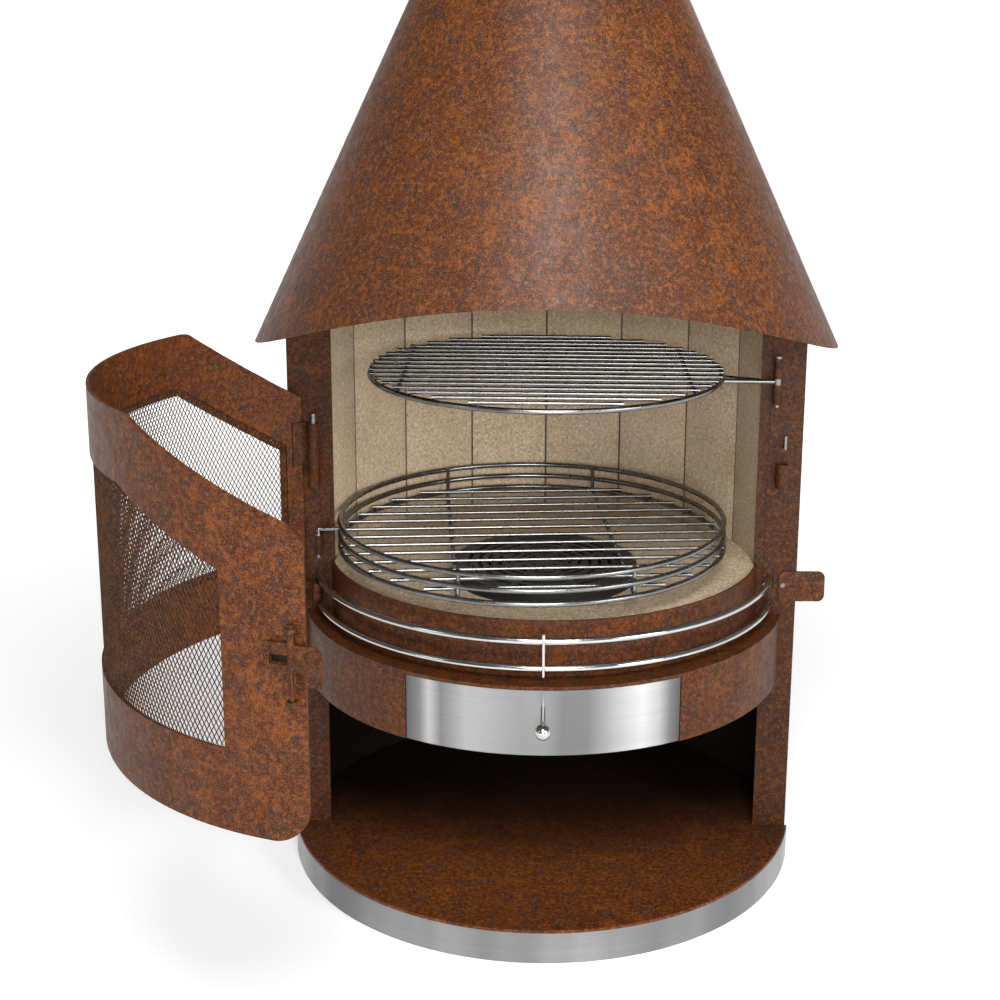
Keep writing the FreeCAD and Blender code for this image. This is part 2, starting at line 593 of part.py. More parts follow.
# ---------------------------------------------------------------- grills
def build_sockets():
    specs = [("grill_socket_left", -1, (("440", "26"),)),
             ("grill_sockets_right", 1, (("652", "26"), ("687", "26")))]
    for label, side, levels in specs:
        parts = []
        for i, (z, length) in enumerate(levels):
            x = "%d * pivot_x" % side
            nm = "%s%d" % (label, i)
            body = cyl(nm + "_o", "5.2", length, x, "pivot_y", z)
            weld = box(nm + "_w", "6", "back_y - post_thick - pivot_y", length, "%s - 3" % x, "pivot_y", z)
            bore = cyl(nm + "_i", "pivot_pin + 0.05", "%s + 4" % length, x, "pivot_y", "%s - 2" % z)
            parts.append(cut(nm, fuse(nm + "_f", [body, weld]), bore))
        node(parts[0] if len(parts) == 1 else group(label + "_g", parts), label)
    z, x, y = "latch_z - 16", "313", "back_y - post_thick - 8.5"
    body = cyl("keeper_o", "8.2", "32", x, y, z)
    weld = box("keeper_w", "8", "8.5", "32", "309", y, z)
    bore = cyl("keeper_i", "5.5", "36", x, y, "%s - 2" % z)
    node(cut("keeper_b", fuse("keeper_f", [body, weld]), bore), "latch_keeper")
    stem = cyl("hook_stem", "1.9", "14", "315", "back_y - post_thick", "594", (1, 0, 0), "90")
    tip = cyl("hook_tip", "2", "18", "315", "back_y - post_thick - 13", "592.5")
    node(fuse("hook_b", [stem, tip]), "tool_hook")
    plate = box("tab_b", "62", "3", "42", "316", "back_y - post_thick - 3", "tab_z")
    doc.recompute()
    rounded = doc.addObject("Part::Fillet", "tab_f")
    rounded.Base = plate
    edges = [i + 1 for i, e in enumerate(plate.Shape.Edges)
             if abs(e.Vertexes[0].Point.y - e.Vertexes[-1].Point.y) > 1]
    rounded.Edges = [(i, 9.0, 9.0) for i in edges]
    node(rounded, "side_tab")


SUPPORT_WIRE = "2.9"


def bars(name, radius, ring, x, y, z, pitch, count, turn, inset):
    """Parallel wires across a ring."""
    parts = []
    for i in range(count):
        off = (i - (count - 1) / 2) * pitch
        half = "sqrt((%s) * (%s) - %g) - %g" % (ring, ring, off * off, inset)
        bar = doc.addObject("Part::Cylinder", "%s%d" % (name, i))
        bind(bar, Radius=radius, Height="2 * (%s)" % half)
        bar.Placement = FreeCAD.Placement(V(0, 0, 0), FreeCAD.Rotation(V(0, 0, 1), turn) *
                                          FreeCAD.Rotation(V(0, 1, 0), 90))
        bind(bar, Placement__Base__x="%s - (%s) * cos(%g) - %g * sin(%g)" % (x, half, turn, off, turn),
             Placement__Base__y="%s - (%s) * sin(%g) + %g * cos(%g)" % (y, half, turn, off, turn),
             Placement__Base__z=z)
        parts.append(bar)
    return group(name, parts)


def build_lower_grill():
    x, y, turn = "lower_grill_x", "grill_y", 5
    for i, place_word in enumerate(("low", "mid", "top")):
        node(torus("low_ring%d" % i, "lower_grill_radius", "wire_ring", x, y,
                   "lower_grill_z + %d * basket_step" % i), "lower_grill_ring_" + place_word)
    seat = "wire_ring + wire_bar"
    node(bars("low_bar", "wire_bar", "lower_grill_radius", x, y, "lower_grill_z + " + seat, 35, 13, turn, -1),
         "lower_grill_bars")
    rods = bars("low_sup", SUPPORT_WIRE, "lower_grill_radius", x, y, "lower_grill_z + 0.5", 216, 2,
                turn + 90, 0)
    room = torus("low_sup_room", "lower_grill_radius", "wire_ring", x, y, "lower_grill_z")
    node(cut("low_sup_c", rods, room), "lower_grill_supports")
    ups = []
    for i, a in enumerate((64.62, 115.38, 244.62, 295.38)):
        rad = math.radians(a + turn)
        ups.append(cyl("low_up%d" % i, "wire_bar", "2 * basket_step",
                       "lower_grill_x + (lower_grill_radius - wire_ring - wire_bar) * %.6f" % math.cos(rad),
                       "grill_y + (lower_grill_radius - wire_ring - wire_bar) * %.6f" % math.sin(rad),
                       "lower_grill_z + wire_ring"))
    node(group("low_ups", ups), "lower_grill_uprights")
    z = "lower_grill_z + basket_step"
    pin = cyl("low_pin", "pivot_pin", "40", "-pivot_x", "pivot_y", "%s - 40" % z)
    collar = cyl("low_collar", "5", "3", "-pivot_x", "pivot_y", "466.3")
    elbow = ball("low_elbow", "pivot_pin", "-pivot_x", "pivot_y", z)
    arm = cyl("low_arm_rod", "pivot_pin - 0.2", "pivot_x + lower_grill_x - lower_grill_radius + 2", "-pivot_x",
              "pivot_y", z, (0, 1, 0), "90")
    room = torus("low_arm_room", "lower_grill_radius", "wire_ring", x, y, z)
    node(cut("low_arm", fuse("low_arm_f", [pin, collar, elbow, arm]), room), "lower_grill_arm")


def build_upper_grill():
    y = "grill_y"
    node(torus("up_ring", "upper_grill_radius", "wire_ring", 0, y, "upper_grill_z"), "upper_grill_ring")
    node(bars("up_bar", "wire_bar", "upper_grill_radius", "0", y, "upper_grill_z + wire_ring + wire_bar", 26.5, 17,
              0, -1), "upper_grill_bars")
    rods = bars("up_sup", SUPPORT_WIRE, "upper_grill_radius", "0", y, "upper_grill_z + 0.5", 368, 2, 90, 0)
    room = torus("up_sup_room", "upper_grill_radius", "wire_ring", 0, y, "upper_grill_z")
    node(cut("up_sup_c", rods, room), "upper_grill_supports")
    pin = cyl("up_pin", "pivot_pin", "66", "pivot_x", "pivot_y", "648")
    cap = cyl("up_pin_cap", "5", "3", "pivot_x", "pivot_y", "713.5")
    eye = cyl("up_eye", "5", "8.2", "pivot_x", "pivot_y", "678.4")
    z = "upper_grill_z - wire_ring - 3"
    front = cyl("up_arm_front", "3", "pivot_x - 228", "228", "pivot_y", z, (0, 1, 0), "90")
    rear = rod_between("up_arm_rear", "2.8", (292, D["pivot_y"], 682.5), (228.5, -50.9, 682.5))
    node(fuse("up_arm", [pin, cap, eye, front, rear]), "upper_grill_arm")


# ---------------------------------------------------------------- hood and flue
def cone(name, lower_z, upper_z, shrink, y="back_y"):
    obj = doc.addObject("Part::Cone", name)
    bind(obj, Radius1="(hood_apex - (%s)) * hood_slope - %s" % (lower_z, shrink),
         Radius2="(hood_apex - (%s)) * hood_slope - %s" % (upper_z, shrink),
         Height="%s - (%s)" % (upper_z, lower_z))
    return place(obj, 0, y, lower_z)


TOP = "(hood_apex - (flue_radius + 2) / hood_slope)"


def build_hood():
    outer = cone("hood_outer", "hood_rim_z", TOP, "0")
    inner = cone("hood_inner", "hood_rim_z - 20", TOP + " + 20", "hood_sheet * 1.1")
    shell = cut("hood_shell", outer, inner)
    arch = cyl("hood_arch", "arch_radius", "450", 0, "back_y", "arch_centre_z", (1, 0, 0), "90")
    node(cut("hood_b", shell, arch), "hood_cone")
    build_hood_brackets()
    collar = tube("collar_b", "flue_radius + 2", "flue_radius", "60", "0", "back_y", TOP)
    node(collar, "flue_collar")
    pipe = tube("flue_b", "flue_radius", "flue_radius - 2", "flue_length", "0", "back_y", TOP + " + 4")
    node(pipe, "flue_pipe")
    cap_z = TOP + " + 4 + flue_length + 45"
    cap = doc.addObject("Part::Cone", "cap_outer")
    bind(cap, Radius1="cap_radius", Radius2="6", Height="cap_height")
    place(cap, 0, "back_y", cap_z)
    inside = doc.addObject("Part::Cone", "cap_inner")
    bind(inside, Radius1="cap_radius", Radius2="6", Height="cap_height")
    place(inside, 0, "back_y", cap_z + " - 2.5")
    node(cut("cap_b", cap, inside), "rain_cap")
    stays = []
    for i in range(3):
        turn = 90 + 120 * i
        a = math.radians(turn)
        stays.append(box("stay%d" % i, "3", "16", "130"))
        place(stays[-1], "(flue_radius - 1) * %.6f + 8 * %.6f" % (math.cos(a), math.sin(a)),
              "back_y + (flue_radius - 1) * %.6f - 8 * %.6f" % (math.sin(a), math.cos(a)),
              TOP + " + 4 + flue_length - 40", (0, 0, 1), "%g" % turn)
    under = fuse("under_cap", [inside, cyl("under_cyl", "cap_radius", "130", 0, "back_y", cap_z + " - 132.5")])
    pipe_room = cyl("stay_room", "flue_radius", "600", 0, "back_y", TOP)
    node(cut("stays_b", common("stays_a", fuse("stays_f", stays), under), pipe_room), "cap_stays")


def build_hood_brackets():
    """Five upright plates that carry the hood on the back shell."""
    plates = []
    for i, turn in enumerate((12, 51, 90, 129, 168)):
        a = math.radians(turn)
        plates.append(box("bracket%d" % i, "60", "4", "54"))
        place(plates[-1], "(shell_radius - 10) * %.6f + 2 * %.6f" % (math.cos(a), math.sin(a)),
              "back_y + (shell_radius - 10) * %.6f - 2 * %.6f" % (math.sin(a), math.cos(a)), "745", (0, 0, 1),
              "%g" % turn)
    room = cone("bracket_cone", "hood_rim_z", TOP, "hood_sheet * 1.1")
    core = cyl("bracket_core", "shell_radius", "400", 0, "back_y", "500")
    node(cut("brackets_b", common("brackets_a", fuse("brackets_f", plates), room), core), "hood_brackets")


def build_all():
    build_base()
    build_hearth()
    build_apron()
    build_lining()
    build_fire_grate()
    build_rail()
    build_drawer()
    build_door()
    build_sockets()
    build_lower_grill()
    build_upper_grill()
    build_hood()
    doc.recompute()


def write_steps():
    os.makedirs("parts", exist_ok=True)
    bad = [o.Name for o in doc.Objects if "Invalid" in o.State or "Error" in o.State]
    if bad:
        raise SystemExit("objects with errors: %s" % ", ".join(bad))
    for obj in NODES:
        shape = obj.Shape
        if shape.isNull() or not shape.isValid():
            raise SystemExit("bad shape: %s" % obj.Label)
        bb = shape.BoundBox
        print("%-22s solids %2d  x %7.1f %7.1f  y %7.1f %7.1f  z %7.1f %7.1f  vol %9.0f" % (
            obj.Label, len(shape.Solids), bb.XMin, bb.XMax, bb.YMin, bb.YMax, bb.ZMin, bb.ZMax, shape.Volume))
        shape.exportStep("parts/%s.step" % obj.Label)


build_all()
write_steps()
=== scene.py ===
import json
import math

import bmesh
import bpy
from mathutils import Matrix, Quaternion, Vector


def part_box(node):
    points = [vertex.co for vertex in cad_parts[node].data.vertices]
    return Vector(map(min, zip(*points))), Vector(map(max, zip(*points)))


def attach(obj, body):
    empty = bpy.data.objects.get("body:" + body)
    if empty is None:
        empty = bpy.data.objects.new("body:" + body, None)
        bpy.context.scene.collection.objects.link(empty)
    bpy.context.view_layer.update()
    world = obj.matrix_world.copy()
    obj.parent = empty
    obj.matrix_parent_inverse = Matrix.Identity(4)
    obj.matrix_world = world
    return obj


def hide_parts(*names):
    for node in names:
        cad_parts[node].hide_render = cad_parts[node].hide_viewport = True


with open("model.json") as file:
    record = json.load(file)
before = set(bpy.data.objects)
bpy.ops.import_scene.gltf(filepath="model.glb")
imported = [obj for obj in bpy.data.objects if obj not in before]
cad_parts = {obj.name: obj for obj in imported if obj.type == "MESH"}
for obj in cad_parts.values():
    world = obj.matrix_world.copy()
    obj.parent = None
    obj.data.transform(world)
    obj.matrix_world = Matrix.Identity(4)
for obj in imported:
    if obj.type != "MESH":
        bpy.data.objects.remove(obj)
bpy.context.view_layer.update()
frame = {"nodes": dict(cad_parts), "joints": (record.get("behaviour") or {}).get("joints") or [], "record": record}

# Lengths are metres and angles radians, unless a comment says otherwise.
NODES = frame["nodes"]
BASE_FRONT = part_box("base_plate")[0].y
HEARTH_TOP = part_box("hearth_plate")[1].z
SHELL_AXIS_Y = -0.065                            # the back shell and the hood are round about it

# ---------------------------------------------------------------- camera and lamps
CAMERA_PLACE = (0.0, -2.1468, 1.1309)
CAMERA_TILT = 0.2385                             # how far it looks down
CAMERA_ROLL = 0.0101
CAMERA_LENS, CAMERA_SENSOR = 58.387, 36.0        # millimetres
CAMERA_SHIFT = (-0.0459, -0.08)
CAMERA_CLIP = (0.05, 60.0)

LAMPS = (                                        # name, place, aim, width, height, watts
    ("front_high", (0.15, -2.6, 2.9), (0.0, -0.1, 0.9), 1.3, 1.1, 84),
    ("right_key", (2.3, -2.3, 1.5), (0.0, -0.1, 0.55), 1.0, 1.4, 50),
    ("left_fill", (-2.6, -1.9, 1.5), (0.0, -0.1, 0.6), 0.7, 1.7, 10),
    ("front_low", (0.2, -3.0, 1.25), (0.0, -0.1, 0.55), 0.9, 0.9, 40),
    ("top", (0.0, 0.6, 3.6), (0.0, 0.0, 0.8), 2.4, 2.0, 14),
    ("back_wash", (0.5, 2.8, 2.0), (0.0, 0.0, 0.8), 2.0, 1.6, 16),
)


def make_camera():
    data = bpy.data.cameras.new("camera")
    data.sensor_width = CAMERA_SENSOR
    data.lens = CAMERA_LENS
    data.shift_x, data.shift_y = CAMERA_SHIFT
    data.clip_start, data.clip_end = CAMERA_CLIP
    camera = bpy.data.objects.new("camera", data)
    tilt = Quaternion((1, 0, 0), math.pi / 2 - CAMERA_TILT)
    camera.rotation_euler = (tilt @ Quaternion((0, 0, 1), CAMERA_ROLL)).to_euler()
    camera.location = CAMERA_PLACE
    bpy.context.scene.collection.objects.link(camera)
    bpy.context.scene.camera = camera


def soft_box(name, place, aim, width, height, power):
    data = bpy.data.lights.new(name, "AREA")
    data.shape = "RECTANGLE"
    data.size, data.size_y = width, height
    data.energy = power
    lamp = bpy.data.objects.new(name, data)
    lamp.location = place
    lamp.rotation_euler = (Vector(aim) - Vector(place)).to_track_quat("-Z", "Y").to_euler()
    bpy.context.scene.collection.objects.link(lamp)


# ---------------------------------------------------------------- node helpers
class Net:
    """Adds linked nodes to one node tree. A value is a number, a colour or a node's output."""

    def __init__(self, tree):
        self.tree = tree

    def add(self, kind, **values):
        node = self.tree.nodes.new(kind)
        for key, value in values.items():
            setattr(node, key, value)
        return node

    def put(self, socket, value):
        if isinstance(value, bpy.types.NodeSocket):
            self.tree.links.new(value, socket)
        else:
            socket.default_value = value

    def span(self, value, low, high, out_low=0.0, out_high=1.0, kind="SMOOTHSTEP"):
        """out_low where value is low, out_high where it is high, and smooth between."""
        node = self.add("ShaderNodeMapRange", interpolation_type=kind)
        for key, number in (("Value", value), ("From Min", low), ("From Max", high),
                            ("To Min", out_low), ("To Max", out_high)):
            self.put(node.inputs[key], number)
        return node.outputs["Result"]

    def math(self, kind, a, b=0.0):
        node = self.add("ShaderNodeMath", operation=kind)
        self.put(node.inputs[0], a)
        self.put(node.inputs[1], b)
        return node.outputs[0]

    def split(self, source):
        node = self.add("ShaderNodeSeparateXYZ")
        self.put(node.inputs[0], source)
        return node.outputs


class Finish(Net):
    """One material, whose patterns lie in object coordinates."""

    def __init__(self, name):
        self.material = bpy.data.materials.new(name)
        self.material.use_nodes = True
        super().__init__(self.material.node_tree)
        self.shader = self.tree.nodes["Principled BSDF"]
        self.where = self.add("ShaderNodeTexCoord").outputs["Object"]

    def normal(self):
        return self.add("ShaderNodeNewGeometry").outputs["Normal"]

    def scaled(self, factors, shift=(0.0, 0.0, 0.0)):
        """Object coordinates, stretched and moved."""
        node = self.add("ShaderNodeMapping")
        self.put(node.inputs["Vector"], self.where)
        self.put(node.inputs["Scale"], factors)
        self.put(node.inputs["Location"], shift)
        return node.outputs["Vector"]

    def noise(self, scale, detail, rough, where=None, twist=0.0):
        """Clouds about 1 / scale across. detail is how many finer layers they have."""
        node = self.add("ShaderNodeTexNoise")
        for key, value in (("Vector", where or self.where), ("Scale", scale), ("Detail", detail),
                           ("Roughness", rough), ("Distortion", twist)):
            self.put(node.inputs[key], value)
        return node.outputs["Fac"]

    def cells(self, scale):
        """Distance to the nearest cell's middle, and that cell's own colour."""
        node = self.add("ShaderNodeTexVoronoi")
        self.put(node.inputs["Vector"], self.where)
        self.put(node.inputs["Scale"], scale)
        return node.outputs["Distance"], node.outputs["Color"]

    def ramp(self, fac, *stops):
        """Each stop is (position, colour) or (position, grey)."""
        node = self.add("ShaderNodeValToRGB")
        self.put(node.inputs["Fac"], fac)
        ends = node.color_ramp.elements
        while len(ends) < len(stops):
            ends.new(0.5)
        for end, (position, tone) in zip(ends, stops):
            end.position = position
            end.color = (*tone, 1.0) if hasattr(tone, "__len__") else (tone, tone, tone, 1.0)
        return node.outputs["Color"]

    def mix(self, fac, a, b, blend="MIX"):
        node = self.add("ShaderNodeMix", data_type="RGBA", blend_type=blend)
        self.put(node.inputs[0], fac)
        for socket, value in ((node.inputs[6], a), (node.inputs[7], b)):
            is_link = isinstance(value, bpy.types.NodeSocket)
            self.put(socket, value if is_link else (*value, 1.0))
        return node.outputs[2]

    def lay(self, under, mask, amount, colour):
        """Cover under with colour where mask is 1, by amount."""
        return self.mix(self.math("MULTIPLY", mask, amount), under, colour)

    def bump(self, *layers):
        """Each layer is (height, strength, distance)."""
        last = None
        for height, strength, distance in layers:
            node = self.add("ShaderNodeBump")
            self.put(node.inputs["Height"], height)
            self.put(node.inputs["Strength"], strength)
            self.put(node.inputs["Distance"], distance)
            if last:
                self.put(node.inputs["Normal"], last)
            last = node.outputs["Normal"]
        self.put(self.shader.inputs["Normal"], last)

    def finish(self, colour, rough, metal=0.0, **sockets):
        """Set the shader's inputs. In a further input's name, _ stands for a space."""
        self.put(self.shader.inputs["Base Color"], colour)
        self.put(self.shader.inputs["Roughness"], rough)
        self.put(self.shader.inputs["Metallic"], metal)
        for key, value in sockets.items():
            self.put(self.shader.inputs[key.replace("_", " ")], value)
        return self.material


# ---------------------------------------------------------------- weathering steel
RUST_COLOURS = {
    "skin_dark": (0.082, 0.0200, 0.0046), "skin": (0.104, 0.0265, 0.0056),
    "skin_light": (0.126, 0.0340, 0.0068), "bloom": (0.270, 0.072, 0.0050),
    "bare_steel": (0.052, 0.0300, 0.0260), "runs": (0.070, 0.022, 0.009),
    "crumb_light": (0.250, 0.080, 0.016), "crumb_dark": (0.040, 0.0135, 0.0070),
    "grit_light": (0.340, 0.150, 0.060), "grit_dark": (0.022, 0.0085, 0.0050),
}
# Near-black: painted shade inside the log store, and the whole colour of the blackened finish.
NEAR_BLACK = (0.0045, 0.0040, 0.0040)
NEAR_BLACK_COVER = 0.93                                # how much of the rust the near-black hides where it is darkest
# Where the painted shade lies in the log store: heights on its wall, and depths on its floor.
SHADE_TOP, SHADE_FULL = HEARTH_TOP + 0.01, HEARTH_TOP - 0.03
SHADE_START, SHADE_END = BASE_FRONT + 0.10, BASE_FRONT + 0.42
SHEET_GLOSS, HOOD_GLOSS = 0.16, 0.28


def rust(name, tone, warm, seed, darkened_where=None, gloss=SHEET_GLOSS):
    """Weathering steel: brown skin, orange bloom, grey clouds, run marks, crumbs and grit.

    tone is its brightness, warm its redness, seed shifts its pattern, and darkened_where
    gives the function that says where near-black covers it, as painted shade in the log store.
    """
    net = Finish(name)
    same = (1.0, 1.0, 1.0)
    place = net.scaled(same, (seed, seed * 0.7, -seed * 0.4))
    drawn_down = net.scaled((1.0, 1.0, 0.12), (seed * 1.3, seed, 0.0))
    cloud = net.noise(6.0, 5.0, 0.55, place, 0.2)
    broad = net.noise(4.5, 3.0, 0.5, place)
    bloom = net.noise(33.0, 7.0, 0.74, place, 0.1)
    steel = net.noise(40.0, 7.0, 0.72, net.scaled(same, (-seed, 2.0, seed)), 0.1)
    crumbs = net.noise(170.0, 3.0, 0.60, place)
    grit = net.noise(620.0, 2.0, 0.50, place)
    runs = net.noise(26.0, 4.0, 0.6, drawn_down)

    def shade(key):
        red, green, blue = RUST_COLOURS[key]
        return (red * tone * warm, green * tone, blue * tone / warm)

    colour = net.ramp(cloud, (0.32, shade("skin_dark")), (0.50, shade("skin")),
                      (0.70, shade("skin_light")))
    for mask, amount, key in (
            (net.span(bloom, 0.47, 0.62), net.span(broad, 0.40, 0.66, 0.25, 0.70), "bloom"),
            (net.span(steel, 0.49, 0.63), 0.66, "bare_steel"),
            (net.span(runs, 0.55, 0.80), 0.25, "runs"),
            (net.span(crumbs, 0.52, 0.64), 0.62, "crumb_light"),
            (net.span(crumbs, 0.48, 0.36), 0.74, "crumb_dark"),
            (net.span(grit, 0.54, 0.66), 0.40, "grit_light"),
            (net.span(grit, 0.47, 0.36), 0.60, "grit_dark")):
        colour = net.lay(colour, mask, amount, shade(key))
    # Near-black mixed in where darkened_where says: painted shade on the log store's wall and floor.
    if darkened_where:
        colour = net.mix(darkened_where(net), colour, NEAR_BLACK)
    rough = net.span(net.noise(60.0, 5.0, 0.6, place), 0.3, 0.7, 0.40, 0.54)
    net.bump((crumbs, 0.35, 0.0007), (grit, 0.60, 0.0003))
    return net.finish(colour, rough, Specular_IOR_Level=gloss)


def inner_side(net):
    """1 where the surface faces the shell's axis, 0 where it faces outwards."""
    out = net.split(net.where)
    from_axis = net.add("ShaderNodeCombineXYZ")
    net.put(from_axis.inputs[0], out["X"])
    net.put(from_axis.inputs[1], net.math("SUBTRACT", out["Y"], SHELL_AXIS_Y))
    facing = net.add("ShaderNodeVectorMath", operation="DOT_PRODUCT")
    net.put(facing.inputs[0], from_axis.outputs[0])
    net.put(facing.inputs[1], net.normal())
    return net.span(facing.outputs["Value"], 0.02, -0.02)


def shade_below_hearth(net):
    """Painted shade: the log store's wall is painted near-black inside, from the hearth plate down, where the
    hearth shades it.
    """
    below = net.span(net.split(net.where)["Z"], SHADE_TOP, SHADE_FULL)
    return net.math("MULTIPLY", below, net.math("MULTIPLY", inner_side(net), NEAR_BLACK_COVER))


def shade_at_back(net):
    """Painted shade: the log store's floor is painted darker towards the back wall."""
    return net.span(net.split(net.where)["Y"], SHADE_START, SHADE_END, 0.0, NEAR_BLACK_COVER)


# Near-black over the whole part.
def blacken_all(net):
    return NEAR_BLACK_COVER


# ---------------------------------------------------------------- bright steel
BRUSH_LINES = (3.0, 3.0, 900.0)                  # stretched sideways, so the lines lie level
PAINTED_SHEEN_WAVES = (9.0, 9.0, 0.5)                    # painted sheen, stretched upwards
# Painted reflections: light and dark bands across the drawer's front: (part of the width from the left, tone)
PAINTED_REFLECTION_BANDS = ((0.00, 0.24), (0.05, 0.46), (0.085, 1.00), (0.13, 0.44), (0.22, 0.84),
               (0.30, 0.72), (0.42, 0.46), (0.50, 0.42), (0.57, 0.28), (0.66, 0.34),
               (0.76, 0.72), (0.86, 1.00), (0.92, 0.78), (0.965, 0.34), (1.00, 0.20))


def brushed(name, tone, rough, seed=0.0, banded_node=None):
    """Stainless sheet with fine level brushing, so its highlights stretch upwards, and painted sheen in its
    colour.
    """
    net = Finish(name)
    lines = net.noise(1.0, 5.0, 0.75, net.scaled(BRUSH_LINES, (seed, seed, seed)))
    coarse_lines = tuple(factor * 0.22 for factor in BRUSH_LINES)
    wide = net.noise(1.0, 3.0, 0.6, net.scaled(coarse_lines, (seed, 0.0, 0.0)))
    cloud = net.noise(9.0, 4.0, 0.6)
    both = net.math("ADD", net.math("MULTIPLY", lines, 0.85), net.math("MULTIPLY", wide, 0.15))
    colour = net.ramp(both, (0.32, (tone * 0.80, tone * 0.81, tone * 0.825)), (0.68, tone))
    colour = net.lay(colour, net.span(cloud, 0.35, 0.75), 0.30, (tone * 0.72,) * 3)
    # Painted sheen multiplies the colour: reflection bands across banded_node, else noise waves stretched upwards.
    if banded_node:
        low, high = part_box(banded_node)
        across = net.span(net.split(net.where)["X"], low.x, high.x, kind="LINEAR")
        painted_sheen = net.ramp(across, *PAINTED_REFLECTION_BANDS)
    else:
        waves = net.noise(1.0, 2.0, 0.5, net.scaled(PAINTED_SHEEN_WAVES, (seed, seed, 0.0)))
        painted_sheen = net.ramp(waves, (0.34, 0.55), (0.62, 1.15))
    colour = net.mix(1.0, colour, painted_sheen, "MULTIPLY")
    net.bump((lines, 0.22, 0.00012), (cloud, 0.10, 0.0008))
    along = net.add("ShaderNodeVectorMath", operation="CROSS_PRODUCT")
    net.put(along.inputs[0], net.normal())
    net.put(along.inputs[1], (0.0, 0.0, 1.0))
    net.put(net.shader.inputs["Tangent"], along.outputs["Vector"])
    return net.finish(colour, net.span(lines, 0.25, 0.75, *rough), 1.0,
                      Anisotropic=0.75, Anisotropic_Rotation=0.25)


def polished(name, tone, rough):
    """Drawn stainless rod with faint draw lines and smudges."""
    net = Finish(name)
    smear = net.noise(45.0, 4.0, 0.6)
    scratch = net.noise(1.0, 4.0, 0.7, net.scaled((60.0, 60.0, 600.0)))
    colour = net.ramp(net.noise(16.0, 5.0, 0.6), (0.3, (tone * 0.80, tone * 0.79, tone * 0.77)),
                      (0.7, (tone, tone, tone * 0.99)))
    net.bump((scratch, 0.04, 0.00005))
    return net.finish(colour, net.span(smear, 0.3, 0.7, *rough), 1.0)


def galvanised(name):
    """Zinc-coated sheet with soft spangles."""
    net = Finish(name)
    near, tint = net.cells(70.0)
    spangles = net.ramp(tint, (0.1, (0.36, 0.37, 0.38)), (0.9, (0.55, 0.56, 0.57)))
    dulled = net.span(net.noise(14.0, 5.0, 0.6), 0.5, 0.75, 0.0, 0.5)
    colour = net.mix(dulled, spangles, (0.30, 0.295, 0.28))
    net.bump((net.noise(200.0, 3.0, 0.6), 0.15, 0.0003))
    return net.finish(colour, net.span(near, 0.0, 0.6, 0.34, 0.50), 0.9)


# ---------------------------------------------------------------- firebrick and cast iron
LINING_AXIS_Y, LINING_RADIUS = -0.0645, 0.284
BRICKS = 8                                       # round the lining's half circle
BRICK_LENGTH = math.pi * LINING_RADIUS / BRICKS
JOINT_HALF = 0.0011 / BRICK_LENGTH               # half a joint's width, as a part of a brick
SANDY, SANDY_DARK = (0.64, 0.505, 0.350), (0.47, 0.36, 0.240)
SLAB, SLAB_DARK = (0.52, 0.405, 0.275), (0.40, 0.305, 0.200)
GRAIN_LIGHT, GRAIN_DARK = (0.86, 0.72, 0.53), (0.29, 0.205, 0.130)
PORE, SMOKE, JOINT = (0.28, 0.20, 0.13), (0.36, 0.255, 0.165), (0.075, 0.052, 0.034)


def brick_joints(net, colour, dark):
    """Give each brick of the lining its own shade, and draw the joints between them."""
    out = net.split(net.where)
    angle = net.math("ARCTAN2", net.math("SUBTRACT", out["Y"], LINING_AXIS_Y), out["X"])
    brick = net.math("MULTIPLY", angle, BRICKS / math.pi)
    own = net.add("ShaderNodeTexWhiteNoise", noise_dimensions="1D")
    net.put(own.inputs["W"], net.math("FLOOR", brick))
    colour = net.lay(colour, own.outputs["Value"], 0.22, dark)
    off_middle = net.math("ABSOLUTE", net.math("SUBTRACT", net.math("FRACT", brick), 0.5))
    line = net.span(off_middle, 0.5 - 1.9 * JOINT_HALF, 0.5 - 0.7 * JOINT_HALF)
    return net.lay(colour, line, 0.80, JOINT)


def firebrick(name, light, dark, joints=False):
    """Pressed refractory: sandy, grainy, with pores, faint clouds and a little smoke."""
    net = Finish(name)
    cloud = net.noise(11.0, 6.0, 0.62, None, 0.3)
    grain = net.noise(260.0, 5.0, 0.8)
    coarse = net.noise(90.0, 5.0, 0.7)
    pore = net.span(net.cells(150.0)[0], 0.16, 0.07)
    smoke = net.span(net.noise(5.0, 5.0, 0.6), 0.50, 0.72)
    colour = net.ramp(cloud, (0.32, dark), (0.68, light))
    colour = net.lay(colour, net.span(grain, 0.52, 0.62), 0.7, GRAIN_LIGHT)
    colour = net.lay(colour, net.span(grain, 0.49, 0.38), 0.75, GRAIN_DARK)
    colour = net.lay(colour, pore, 0.5, PORE)
    colour = net.lay(colour, smoke, 0.25, SMOKE)
    if joints:
        colour = brick_joints(net, colour, dark)
    net.bump((coarse, 0.35, 0.0010), (grain, 0.45, 0.0004),
             (net.math("MULTIPLY", pore, -1.0), 0.5, 0.0008))
    return net.finish(colour, net.span(coarse, 0.3, 0.7, 0.82, 0.96), Specular_IOR_Level=0.25)


def cast_iron(name):
    """Sand-cast iron, blackened, with a grainy skin and rubbed high spots."""
    net = Finish(name)
    skin = net.noise(240.0, 4.0, 0.7)
    colour = net.ramp(net.noise(30.0, 5.0, 0.6), (0.3, (0.006, 0.0065, 0.007)),
                      (0.7, (0.016, 0.017, 0.018)))
    colour = net.lay(colour, net.span(skin, 0.58, 0.8), 0.4, (0.050, 0.050, 0.052))
    net.bump((skin, 0.5, 0.0005), (net.noise(60.0, 4.0, 0.6), 0.35, 0.0009))
    return net.finish(colour, net.span(skin, 0.3, 0.7, 0.32, 0.52), 0.35)


